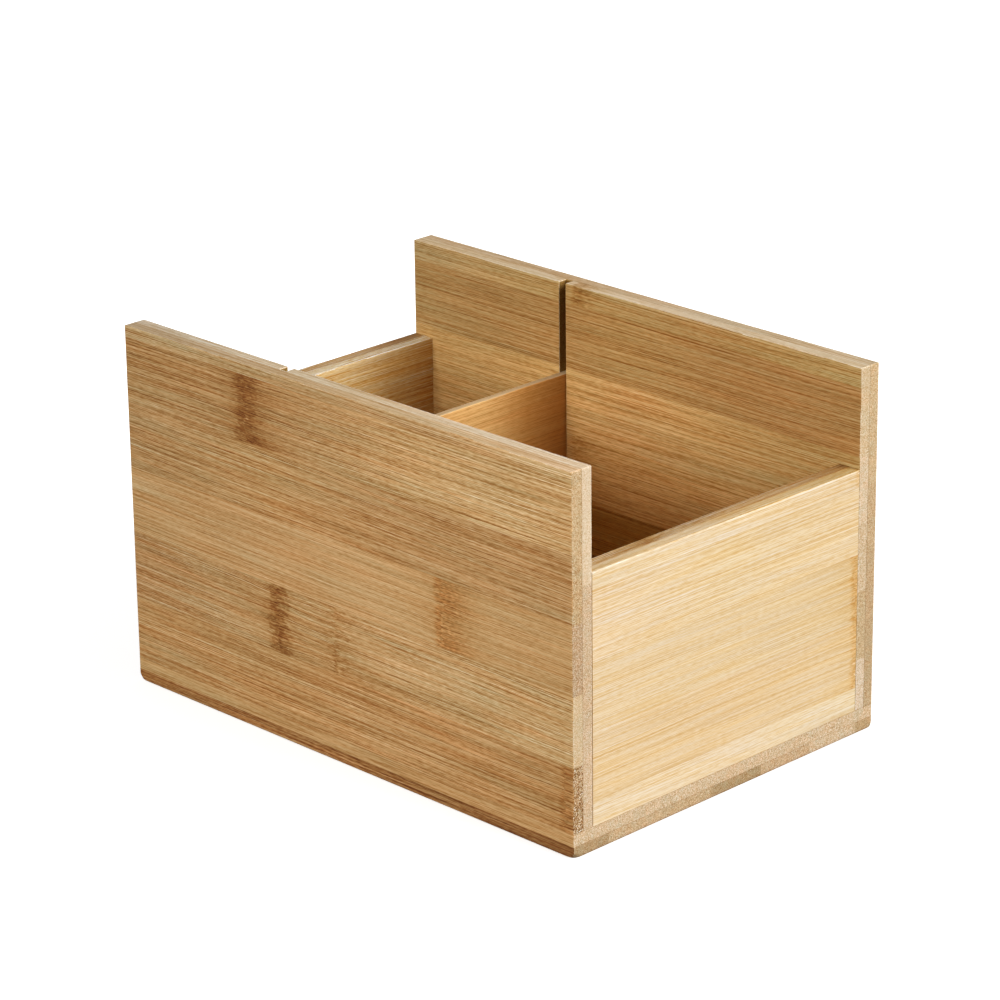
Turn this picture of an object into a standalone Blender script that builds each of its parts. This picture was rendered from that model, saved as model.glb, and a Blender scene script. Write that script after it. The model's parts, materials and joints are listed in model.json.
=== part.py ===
"""Open-topped two-compartment tabletop organiser in laminated bamboo.

A base board lies under everything. Two tall side panels stand on it along its
long edges, and two low end panels stand between them, flush with their ends.
Every board is two plies glued face to face. One loose divider drops into a
pair of grooves cut down the side panels' inner faces. Round wooden dowels,
hidden in the glued butt joints, hold the boards together.

Frame: +X towards the front end, +Y towards the right-hand side panel, +Z up.
The origin is the centre of the footprint on the surface the object stands on.
Units are metres.
"""
import bpy
import bmesh
import math
from mathutils import Vector

# ---------------------------------------------------------------- dimensions
LENGTH = 0.240            # overall, along X
WIDTH = 0.164             # overall, along Y
HEIGHT = 0.148            # overall, to the side panels' top edges
BOARD = 0.010             # thickness of every glued board
PLY = BOARD / 2           # each board is two equal plies
END_TOP = 0.108           # height of the low end panels' top edges

GROOVE_WIDTH = 0.0036     # along X
GROOVE_DEPTH = 0.0042     # into the side panels' inner faces
GROOVE_X = -0.0352        # centre of the groove, and of the divider
DIVIDER_THICKNESS = 0.0030
DIVIDER_HEIGHT = 0.100
DIVIDER_END_PLAY = 0.0005  # between the divider's end and the groove's floor

ARRIS = 0.0004            # eased outer edges
BASE_ROUND = 0.0012       # rounded bottom edges of the base board
GAP = 0.0003              # between pieces that touch

DOWEL_RADIUS = 0.0025
DOWEL_SIDES = 12
DOWEL_EASE = 0.0004
BORE_RADIUS = DOWEL_RADIUS + GAP
BORE_END = 0.0003         # air past each end of a dowel
UPRIGHT_LOW = 0.0035      # upright dowels: from here in the base board ...
UPRIGHT_HIGH = 0.0225     # ... to here in the panel above
CORNER_OUT = 0.0028       # corner dowels: skin left outside them in the side panel
CORNER_LENGTH = 0.0190
SIDE_DOWEL_X = (-0.090, 0.0, 0.090)
END_DOWEL_Y = (-0.040, 0.040)
CORNER_DOWEL_Z = (0.034, 0.086)

HALF_L = LENGTH / 2
HALF_W = WIDTH / 2
HALF_GAP = GAP / 2

# ------------------------------------------------------------ scene clearing
for old in list(bpy.data.objects):
    bpy.data.objects.remove(old, do_unlink=True)

parts = bpy.data.collections.new("tabletop_organiser")
bores = bpy.data.collections.new("dowel_bores")
cutters = bpy.data.collections.new("groove_cutters")
for group in (parts, bores, cutters):
    bpy.context.scene.collection.children.link(group)


# ------------------------------------------------------------------- helpers
def material(name, colour, roughness, metallic=0.0):
    mat = bpy.data.materials.new(name)
    mat.use_nodes = True
    shader = mat.node_tree.nodes["Principled BSDF"]
    shader.inputs["Base Color"].default_value = (*colour, 1.0)
    shader.inputs["Roughness"].default_value = roughness
    shader.inputs["Metallic"].default_value = metallic
    mat.diffuse_color = (*colour, 1.0)
    return mat


def move_to(obj, collection):
    for owner in list(obj.users_collection):
        owner.objects.unlink(obj)
    collection.objects.link(obj)


def box(name, low, high, collection):
    """A box from a unit cube, with its scale in the mesh."""
    low, high = Vector(low), Vector(high)
    bpy.ops.mesh.primitive_cube_add(size=1.0, location=(low + high) / 2)
    obj = bpy.context.active_object
    obj.name = obj.data.name = name
    for vertex in obj.data.vertices:
        vertex.co = Vector(c * s for c, s in zip(vertex.co, high - low))
    move_to(obj, collection)
    return obj


def ease(obj, faces, width, segments=1, upright_width=None):
    """Bevel every edge where two of the named outer faces meet.

    faces is a list of (axis, sign). Edges that stand upright, between two
    side faces, take upright_width where it is given.
    """
    half = [max(v.co[i] for v in obj.data.vertices) for i in range(3)]
    weights = obj.data.attributes.new("bevel_weight_edge", "FLOAT", "EDGE")
    for edge in obj.data.edges:
        ends = [obj.data.vertices[i].co for i in edge.vertices]
        on = [f for f in faces
              if all(abs(p[f[0]] - f[1] * half[f[0]]) < 1e-7 for p in ends)]
        if len(on) == 2:
            upright = all(axis != 2 for axis, _ in on)
            share = upright_width / width if upright and upright_width else 1.0
            weights.data[edge.index].value = share
    bevel = obj.modifiers.new("eased_edges", "BEVEL")
    bevel.limit_method = "WEIGHT"
    bevel.width = width
    bevel.segments = segments
    bevel.use_clamp_overlap = True


def cut(obj, collection=None, cutter=None, name="cut"):
    boolean = obj.modifiers.new(name, "BOOLEAN")
    boolean.operation = "DIFFERENCE"
    boolean.solver = "EXACT"
    if collection is not None:
        boolean.operand_type = "COLLECTION"
        boolean.collection = collection
    else:
        boolean.object = cutter


def as_cutter(obj):
    obj.hide_render = True
    obj.display_type = "WIRE"


def cylinder(name, start, axis, length, radius, sides, collection):
    """A closed cylinder whose near end is at start, along axis 1 (Y) or 2 (Z)."""
    centre = Vector(start)
    centre[axis] += length / 2
    turn = (math.pi / 2, 0.0, 0.0) if axis == 1 else (0.0, 0.0, 0.0)
    bpy.ops.mesh.primitive_cylinder_add(
        vertices=sides, radius=radius, depth=abs(length),
        location=centre, rotation=turn)
    obj = bpy.context.active_object
    obj.name = obj.data.name = name
    move_to(obj, collection)
    return obj


def dowel(name, start, axis, length):
    """A round dowel with eased ends, and the bore it sits in."""
    peg = cylinder(name, start, axis, length, DOWEL_RADIUS, DOWEL_SIDES, parts)
    bevel = peg.modifiers.new("eased_ends", "BEVEL")
    bevel.limit_method = "ANGLE"
    bevel.angle_limit = math.radians(60)
    bevel.width = DOWEL_EASE
    bevel.segments = 1
    peg.data.shade_smooth()
    peg.data.set_sharp_from_angle(angle=math.radians(40))
    peg.data.materials.append(material(name, (0.62, 0.44, 0.24), 0.7))
    step = 1.0 if length > 0 else -1.0
    begin = Vector(start)
    begin[axis] -= step * BORE_END
    bore = cylinder("bore_" + name, begin, axis, length + step * 2 * BORE_END,
                    BORE_RADIUS, DOWEL_SIDES, bores)
    as_cutter(bore)
    return peg


# --------------------------------------------------------------- base board
base_lower = box("base_board_lower_ply",
                 (-HALF_L, -HALF_W, 0.0),
                 (HALF_L, HALF_W, PLY - HALF_GAP), parts)
ease(base_lower, [(0, -1), (0, 1), (1, -1), (1, 1), (2, -1)],
     BASE_ROUND, segments=3, upright_width=ARRIS)
base_lower.data.materials.append(
    material("base_board_lower_ply", (0.36, 0.21, 0.09), 0.55))

base_upper = box("base_board_upper_ply",
                 (-HALF_L, -HALF_W, PLY + HALF_GAP),
                 (HALF_L, HALF_W, BOARD - HALF_GAP), parts)
ease(base_upper, [(0, -1), (0, 1), (1, -1), (1, 1)], ARRIS)
base_upper.data.materials.append(
    material("base_board_upper_ply", (0.50, 0.31, 0.14), 0.55))

# -------------------------------------------------------------- side panels
groove_top = HEIGHT + 0.002
for hand, sign in (("left", -1), ("right", 1)):
    outer = sorted((sign * HALF_W, sign * (HALF_W - PLY + HALF_GAP)))
    inner = sorted((sign * (HALF_W - PLY - HALF_GAP),
                    sign * (HALF_W - BOARD)))
    outer_ply = box(f"side_panel_{hand}_outer_ply",
                    (-HALF_L, outer[0], BOARD + HALF_GAP),
                    (HALF_L, outer[1], HEIGHT), parts)
    ease(outer_ply, [(0, -1), (0, 1), (1, sign), (2, 1)], ARRIS)
    outer_ply.data.materials.append(
        material(outer_ply.name, (0.47, 0.28, 0.12), 0.55))

    inner_ply = box(f"side_panel_{hand}_inner_ply",
                    (-HALF_L, inner[0], BOARD + HALF_GAP),
                    (HALF_L, inner[1], HEIGHT), parts)
    ease(inner_ply, [(0, -1), (0, 1), (1, -sign), (2, 1)], ARRIS)
    inner_ply.data.materials.append(
        material(inner_ply.name, (0.49, 0.30, 0.13), 0.55))

    reach = sorted((sign * (HALF_W - BOARD - 0.002),
                    sign * (HALF_W - BOARD + GROOVE_DEPTH)))
    groove = box(f"groove_{hand}",
                 (GROOVE_X - GROOVE_WIDTH / 2, reach[0], BOARD - 0.002),
                 (GROOVE_X + GROOVE_WIDTH / 2, reach[1], groove_top), cutters)
    as_cutter(groove)
    cut(inner_ply, cutter=groove, name="divider_groove")

# --------------------------------------------------------------- end panels
span = HALF_W - BOARD - GAP
for end, sign in (("front", 1), ("back", -1)):
    outer = sorted((sign * HALF_L, sign * (HALF_L - PLY + HALF_GAP)))
    inner = sorted((sign * (HALF_L - PLY - HALF_GAP),
                    sign * (HALF_L - BOARD)))
    outer_ply = box(f"end_panel_{end}_outer_ply",
                    (outer[0], -span, BOARD + HALF_GAP),
                    (outer[1], span, END_TOP), parts)
    ease(outer_ply, [(0, sign), (2, 1)], ARRIS)
    outer_ply.data.materials.append(
        material(outer_ply.name, (0.70, 0.48, 0.24), 0.5))

    inner_ply = box(f"end_panel_{end}_inner_ply",
                    (inner[0], -span, BOARD + HALF_GAP),
                    (inner[1], span, END_TOP), parts)
    ease(inner_ply, [(0, -sign), (2, 1)], ARRIS)
    inner_ply.data.materials.append(
        material(inner_ply.name, (0.52, 0.33, 0.15), 0.5))

# ------------------------------------------------------------------ divider
divider_end = HALF_W - BOARD + GROOVE_DEPTH - DIVIDER_END_PLAY
divider_low = BOARD + HALF_GAP
divider = box("divider_panel",
              (GROOVE_X - DIVIDER_THICKNESS / 2, -divider_end, divider_low),
              (GROOVE_X + DIVIDER_THICKNESS / 2, divider_end,
               divider_low + DIVIDER_HEIGHT), parts)
ease(divider, [(0, -1), (0, 1), (1, -1), (1, 1), (2, -1), (2, 1)], ARRIS)
divider.data.materials.append(material("divider_panel", (0.60, 0.37, 0.15), 0.5))

# ------------------------------------------------------------------- dowels
upright = UPRIGHT_HIGH - UPRIGHT_LOW
for hand, sign in (("left", -1), ("right", 1)):
    for number, x in enumerate(SIDE_DOWEL_X, 1):
        dowel(f"dowel_base_to_{hand}_side_{number}",
              (x, sign * (HALF_W - PLY), UPRIGHT_LOW), 2, upright)
for end, sign in (("front", 1), ("back", -1)):
    for number, y in enumerate(END_DOWEL_Y, 1):
        dowel(f"dowel_base_to_{end}_end_{number}",
              (sign * (HALF_L - PLY), y, UPRIGHT_LOW), 2, upright)
    for hand, side in (("left", -1), ("right", 1)):
        for place, z in zip(("lower", "upper"), CORNER_DOWEL_Z):
            dowel(f"dowel_{end}_{hand}_corner_{place}",
                  (sign * (HALF_L - PLY), side * (HALF_W - CORNER_OUT), z),
                  1, -side * CORNER_LENGTH)

for board in (base_lower, base_upper,
              *[o for o in parts.objects if "_panel_" in o.name]):
    cut(board, collection=bores, name="dowel_bores")
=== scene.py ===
"""Detailed look of the bamboo tabletop organiser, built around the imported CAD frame.

Every CAD node is replaced by a detailed piece: laminated plies with strip seams,
eased and slightly worn edges, glue lines, grooves and dowel bores, fluted dowels,
and a procedural bamboo material driven by the coordinates along, across and
through the grain. Lengths in this script are millimetres unless said otherwise.
"""

import json
import math
import random

import bpy
import bmesh
import numpy as np
from mathutils import Matrix, Vector, noise

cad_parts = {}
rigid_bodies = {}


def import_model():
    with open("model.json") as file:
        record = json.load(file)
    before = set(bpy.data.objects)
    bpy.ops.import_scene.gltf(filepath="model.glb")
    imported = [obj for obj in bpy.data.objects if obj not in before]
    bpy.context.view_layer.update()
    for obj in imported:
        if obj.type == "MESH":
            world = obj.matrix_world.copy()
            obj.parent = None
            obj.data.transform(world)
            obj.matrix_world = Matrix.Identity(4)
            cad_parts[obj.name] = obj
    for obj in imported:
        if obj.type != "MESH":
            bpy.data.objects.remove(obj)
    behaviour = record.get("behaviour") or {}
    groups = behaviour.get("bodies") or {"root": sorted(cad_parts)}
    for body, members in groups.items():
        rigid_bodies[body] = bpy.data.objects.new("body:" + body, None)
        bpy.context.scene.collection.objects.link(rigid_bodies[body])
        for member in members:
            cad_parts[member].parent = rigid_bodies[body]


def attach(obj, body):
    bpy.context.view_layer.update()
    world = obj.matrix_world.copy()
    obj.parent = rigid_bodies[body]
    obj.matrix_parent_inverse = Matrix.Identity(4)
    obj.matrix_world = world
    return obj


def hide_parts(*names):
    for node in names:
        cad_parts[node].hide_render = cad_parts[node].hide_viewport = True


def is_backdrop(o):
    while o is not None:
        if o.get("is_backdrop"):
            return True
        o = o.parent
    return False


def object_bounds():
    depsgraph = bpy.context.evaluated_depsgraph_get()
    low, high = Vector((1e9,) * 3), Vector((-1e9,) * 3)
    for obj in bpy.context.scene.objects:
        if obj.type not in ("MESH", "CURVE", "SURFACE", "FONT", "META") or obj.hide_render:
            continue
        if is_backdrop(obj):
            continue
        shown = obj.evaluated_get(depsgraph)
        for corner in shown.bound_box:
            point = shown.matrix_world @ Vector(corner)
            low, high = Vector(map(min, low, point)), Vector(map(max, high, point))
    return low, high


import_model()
bounds_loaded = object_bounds()

MM = 0.001

# ---------------------------------------------------------------- dimensions
HALF_L, HALF_W, HEIGHT, END_TOP = 120.0, 82.0, 148.0, 108.0
BOARD, PLY = 10.0, 5.0
JOINT = 0.02              # half of the air left in a glued joint
ARRIS = 0.38              # eased outer edges
BASE_ROUND = 1.2          # bottom edges of the base
GLUE_CHAMFER = 0.06       # tiny arris on each side of a glue line
SEAM_HALF, SEAM_DEPTH = 0.11, 0.030
GROOVE = (-37.0, -33.4)   # along X
GROOVE_FLOOR = 76.2       # |Y| of the groove's floor
DIVIDER = (-36.7, -33.7)
DIVIDER_END, DIVIDER_LOW, DIVIDER_TOP = 75.7, 10.15, 110.15
DOWEL_R, BORE_R = 2.5, 2.62
STRIP = 27.2              # width of one bamboo strip

rng = random.Random(41)

pieces = bpy.data.collections.new("organiser_pieces")
bpy.context.scene.collection.children.link(pieces)
tools = bpy.data.collections.new("cutting_tools")
bpy.context.scene.collection.children.link(tools)


def lin(c):
    c = c / 255.0
    return c / 12.92 if c <= 0.04045 else ((c + 0.055) / 1.055) ** 2.4


# ------------------------------------------------------------ lattice boards
def spaced(low, high, marks, step, edge=1.0):
    """Sorted loop positions from low to high: the marks, a loop close to each
    end, and enough loops between that none is further apart than step."""
    fixed = sorted({round(v, 4) for v in
                    [low, high, low + edge, high - edge, *marks]
                    if low - 1e-6 <= v <= high + 1e-6})
    out = [fixed[0]]
    for v in fixed[1:]:
        gap = v - out[-1]
        if gap < 0.05:
            continue
        n = max(1, math.ceil(gap / step - 1e-6))
        out += [out[-1] + (v - out[-1]) * (i + 1) / n for i in range(n)] \
            if n > 1 else [v]
    out[-1] = high
    return out


def lattice(name, axes, removed=()):
    """A closed mesh: the outside of a lattice of cells, less the removed boxes."""
    n = [len(a) - 1 for a in axes]
    mids = [np.array([(a[i] + a[i + 1]) / 2 for i in range(len(a) - 1)])
            for a in axes]
    solid = np.ones(n, bool)
    for low, high in removed:
        inside = [(mids[k] > low[k]) & (mids[k] < high[k]) for k in range(3)]
        solid &= ~(inside[0][:, None, None] & inside[1][None, :, None]
                   & inside[2][None, None, :])
    full = np.zeros([k + 2 for k in n], bool)
    full[1:-1, 1:-1, 1:-1] = solid
    index, verts, faces = {}, [], []

    def vertex(i, j, k):
        key = (i, j, k)
        if key not in index:
            index[key] = len(verts)
            verts.append((axes[0][i] * MM, axes[1][j] * MM, axes[2][k] * MM))
        return index[key]

    for axis in range(3):
        b, c = (axis + 1) % 3, (axis + 2) % 3
        for sign in (-1, 1):
            step = [0, 0, 0]
            step[axis] = sign
            shifted = np.roll(full, [-s for s in step], axis=(0, 1, 2))
            cells = np.argwhere(full & ~shifted) - 1
            for cell in cells:
                base = list(cell)
                base[axis] += 1 if sign > 0 else 0
                quad = []
                order = ((0, 0), (1, 0), (1, 1), (0, 1))
                for db, dc in (order if sign > 0 else order[::-1]):
                    corner = list(base)
                    corner[b] += db
                    corner[c] += dc
                    quad.append(vertex(*corner))
                faces.append(quad)
    mesh = bpy.data.meshes.new(name)
    mesh.from_pydata(verts, [], faces)
    mesh.update()
    obj = bpy.data.objects.new(name, mesh)
    pieces.objects.link(obj)
    return obj


def bake_modifiers(obj):
    """Replaces the mesh by its evaluated one."""
    bpy.context.view_layer.update()
    graph = bpy.context.evaluated_depsgraph_get()
    mesh = bpy.data.meshes.new_from_object(obj.evaluated_get(graph))
    old, name = obj.data, obj.name
    obj.modifiers.clear()
    obj.data = mesh
    bpy.data.meshes.remove(old)
    mesh.name = name


def ease_edges(obj, width_of, segments=3):
    """Bevels the convex edges; width_of(n1, n2, middle) gives each one's width."""
    bm = bmesh.new()
    bm.from_mesh(obj.data)
    bm.normal_update()
    widths = {}
    for e in bm.edges:
        if len(e.link_faces) != 2:
            continue
        f, g = e.link_faces
        if f.normal.dot(g.normal) > 0.5:
            continue
        towards = (g.calc_center_median() - f.calc_center_median())
        if towards.dot(f.normal) > 0:      # concave
            continue
        middle = (e.verts[0].co + e.verts[1].co) / 2 / MM
        w = width_of(f.normal, g.normal, middle)
        if w:
            widths[e.index] = w
    bm.free()
    top = max(widths.values())
    weights = obj.data.attributes.new("bevel_weight_edge", "FLOAT", "EDGE")
    for i, w in widths.items():
        weights.data[i].value = w / top
    bevel = obj.modifiers.new("eased", "BEVEL")
    bevel.limit_method = "WEIGHT"
    bevel.offset_type = "OFFSET"
    bevel.width = top * MM
    bevel.segments = segments
    bevel.use_clamp_overlap = True
    bevel.loop_slide = True


def cut_bores(obj, bores):
    cut = obj.modifiers.new("bores", "BOOLEAN")
    cut.operation = "DIFFERENCE"
    cut.solver = "EXACT"
    cut.operand_type = "COLLECTION"
    cut.collection = bores


def smooth_with_flat_faces(obj):
    """Smooth arrises between truly flat faces."""
    mesh = obj.data
    mesh.shade_smooth()
    mesh.set_sharp_from_angle(angle=math.radians(38))
    weighted = obj.modifiers.new("weighted", "WEIGHTED_NORMAL")
    weighted.mode = "FACE_AREA"
    weighted.weight = 50
    weighted.keep_sharp = True
    bake_modifiers(obj)


# ---------------------------------------------------------------- the boards
class Board:
    """One ply. grain, across and through are the axes (0, 1, 2) of its bamboo.

    glued lists the (axis, sign) directions whose faces are hidden in a joint.
    seams are the strip boundaries across the grain.
    """

    def __init__(self, name, low, high, axes, seams, glued, edge_width,
                 removed=(), marks=None, bottom_round=None):
        self.name = name
        self.low, self.high = list(low), list(high)
        self.g, self.w, self.t = axes
        self.glued = set(glued)
        self.seams = [s for s in seams
                      if self.low[self.w] + 0.6 < s < self.high[self.w] - 0.6]
        self.edges = [self.low[self.w], *self.seams, self.high[self.w]]
        self.edge_width = edge_width
        self.bottom_round = bottom_round
        self.removed = removed
        marks = marks or {}
        loops = []
        for axis in range(3):
            m = list(marks.get(axis, ()))
            step = 6.0
            if axis == self.w:
                step = 4.6
                for s in self.seams:
                    m += [s - SEAM_HALF, s, s + SEAM_HALF]
            if axis == self.t:
                step = 3.0
            near = 1.3 if bottom_round and axis != 2 else 1.05
            if bottom_round and axis == 2:
                near = 2.0
            loops.append(spaced(self.low[axis], self.high[axis], m, step, near))
        self.obj = lattice(name, loops, removed)
        ease_edges(self.obj, self._width)
        bake_modifiers(self.obj)
        if bottom_round:
            self._soften_bottom_corners()
        self._detail()

    def _soften_bottom_corners(self):
        """The four lowest corners of the base, each sanded by hand to a ball."""
        reaches = {(1, -1): 4.4, (1, 1): 1.7, (-1, -1): 3.3, (-1, 1): 3.0}
        top = 2.6
        bm = bmesh.new()
        bm.from_mesh(self.obj.data)
        for axis, half in ((0, self.high[0]), (1, self.high[1])):
            for sign in (-1, 1):
                for d in (0.35, 0.8, 1.25, 1.8, 2.5, 3.4, 4.7):
                    where = [0.0, 0.0, 0.0]
                    where[axis] = sign * (half - d) * MM
                    normal = [0.0, 0.0, 0.0]
                    normal[axis] = 1.0
                    bmesh.ops.bisect_plane(
                        bm, geom=bm.verts[:] + bm.edges[:] + bm.faces[:],
                        dist=1e-6, plane_co=where, plane_no=normal)
        for z in (1.2, 1.7):
            bmesh.ops.bisect_plane(
                bm, geom=bm.verts[:] + bm.edges[:] + bm.faces[:],
                dist=1e-6, plane_co=(0, 0, z * MM), plane_no=(0, 0, 1))
        for v in bm.verts:
            p = v.co / MM
            if p[2] > top:
                continue
            reach = reaches[(1 if p[0] > 0 else -1, 1 if p[1] > 0 else -1)]
            radius = reach * (1 - max(0.0, p[2]) / top) ** 0.7
            dx, dy = self.high[0] - abs(p[0]), self.high[1] - abs(p[1])
            if radius < 0.05 or dx > radius or dy > radius:
                continue
            away = math.hypot(radius - dx, radius - dy)
            inset = min(dx, dy)
            if away + min(inset, 0.6) > radius and away > 1e-6:
                k = (radius - min(inset, 0.6)) / away
                dx, dy = radius - (radius - dx) * k, radius - (radius - dy) * k
                v.co[0] = math.copysign(self.high[0] - dx, p[0]) * MM
                v.co[1] = math.copysign(self.high[1] - dy, p[1]) * MM
        bm.to_mesh(self.obj.data)
        bm.free()
        self.obj.data.update()

    def _width(self, n1, n2, middle):
        kinds = []
        for n in (n1, n2):
            axis = max(range(3), key=lambda i: abs(n[i]))
            sign = 1 if n[axis] > 0 else -1
            hull = self.high[axis] if sign > 0 else self.low[axis]
            on_hull = abs(middle[axis] - hull) < 1e-3
            kinds.append("glued" if on_hull and (axis, sign) in self.glued
                         else "bottom" if (axis, sign) == (2, -1)
                         and self.bottom_round else "open")
        if kinds.count("glued") == 2:
            return None
        if "glued" in kinds:
            return GLUE_CHAMFER
        if "bottom" in kinds:
            return self.bottom_round
        return self.edge_width

    def _detail(self):
        """Seam lines pressed in a little, and edges that are not dead straight."""
        mesh = self.obj.data
        centre = [(a + b) / 2 for a, b in zip(self.low, self.high)]
        reach = self.edge_width + 0.03
        for v in mesh.vertices:
            p = v.co / MM
            near = []
            for axis in range(3):
                for sign, hull in ((-1, self.low[axis]), (1, self.high[axis])):
                    d = abs(p[axis] - hull)
                    if d < reach:
                        near.append((axis, sign, d, (axis, sign) in self.glued))
            if any(g for *_, g in near):
                continue
            if len(near) == 1:
                axis, sign, d, _ = near[0]
                if axis != self.w and d < 1e-3 and \
                        any(abs(p[self.w] - s) < 1e-3 for s in self.seams):
                    p[axis] -= sign * SEAM_DEPTH
            elif len(near) == 2 and not self.bottom_round:
                n = noise.noise(Vector((p[0] / 9, p[1] / 9, p[2] / 9 + 3.1)))
                m = noise.noise(Vector((p[0] / 2.4, p[1] / 2.4 + 7.7, p[2] / 2.4)))
                push = 0.035 * (0.5 + n) + 0.10 * max(0.0, m - 0.32)
                for axis, sign, d, _ in near:
                    p[axis] -= sign * max(0.0, push) * (1 - d / reach)
            v.co = p * MM
        mesh.update()

    def strip_of(self, w):
        for i in range(len(self.edges) - 1):
            if w <= self.edges[i + 1]:
                return i
        return len(self.edges) - 2


def add_bore(name, start, axis, length, bores):
    bm = bmesh.new()
    bmesh.ops.create_cone(bm, cap_ends=True, segments=28, radius1=BORE_R * MM,
                          radius2=BORE_R * MM, depth=abs(length) * MM)
    if axis == 1:
        bmesh.ops.rotate(bm, verts=bm.verts,
                         matrix=Matrix.Rotation(math.pi / 2, 3, "X"))
    centre = Vector(start)
    centre[axis] += length / 2
    bmesh.ops.translate(bm, verts=bm.verts, vec=centre * MM)
    bmesh.ops.recalc_face_normals(bm, faces=bm.faces)
    mesh = bpy.data.meshes.new(name)
    bm.to_mesh(mesh)
    bm.free()
    obj = bpy.data.objects.new(name, mesh)
    bores.objects.link(obj)
    return obj


# ------------------------------------------------------------------- dowels
def fluted_dowel(name, start, axis, length):
    """A compressed dowel: straight flutes and a chamfer at each end."""
    sides, flutes = 48, 12
    sign = 1 if length > 0 else -1
    n_body = 6
    total = abs(length)
    rings = [(0.0, 0.72), (0.25, 0.86), (0.7, 1.0)]
    rings += [(0.7 + (total - 1.4) * (i + 1) / n_body, 1.0)
              for i in range(n_body)]
    rings += [(total - 0.25, 0.86), (total, 0.72)]
    verts, faces = [], []
    for along, scale in rings:
        for i in range(sides):
            angle = 2 * math.pi * i / sides
            dip = 0.11 * max(0.0, math.cos(flutes * angle)) ** 2
            r = (DOWEL_R - dip) * scale
            r -= 0.012 * (1 + noise.noise(Vector((i * 1.7, along * 0.8, start[0]))))
            a, b = r * math.cos(angle), r * math.sin(angle)
            if axis == 2:
                p = (start[0] + a, start[1] + b, start[2] + along)
            else:
                p = (start[0] + a, start[1] + sign * along, start[2] + b)
            verts.append(tuple(c * MM for c in p))
    for k in range(len(rings) - 1):
        for i in range(sides):
            j = (i + 1) % sides
            faces.append((k * sides + i, k * sides + j,
                          (k + 1) * sides + j, (k + 1) * sides + i))
    faces.append(tuple(range(sides)))
    last = (len(rings) - 1) * sides
    faces.append(tuple(last + i for i in reversed(range(sides))))
    mesh = bpy.data.meshes.new(name)
    mesh.from_pydata(verts, [], faces)
    bm = bmesh.new()
    bm.from_mesh(mesh)
    bmesh.ops.recalc_face_normals(bm, faces=bm.faces)
    bm.to_mesh(mesh)
    bm.free()
    obj = bpy.data.objects.new(name, mesh)
    pieces.objects.link(obj)
    mesh.shade_smooth()
    mesh.set_sharp_from_angle(angle=math.radians(40))
    return obj


# --------------------------------------------------------- bamboo attributes
SAW_BURN_AND_SHADE = (0.42, 0.31, 0.11)         # the groove's walls: browned by the saw, and darker still with painted shade for the narrow slot


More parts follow.
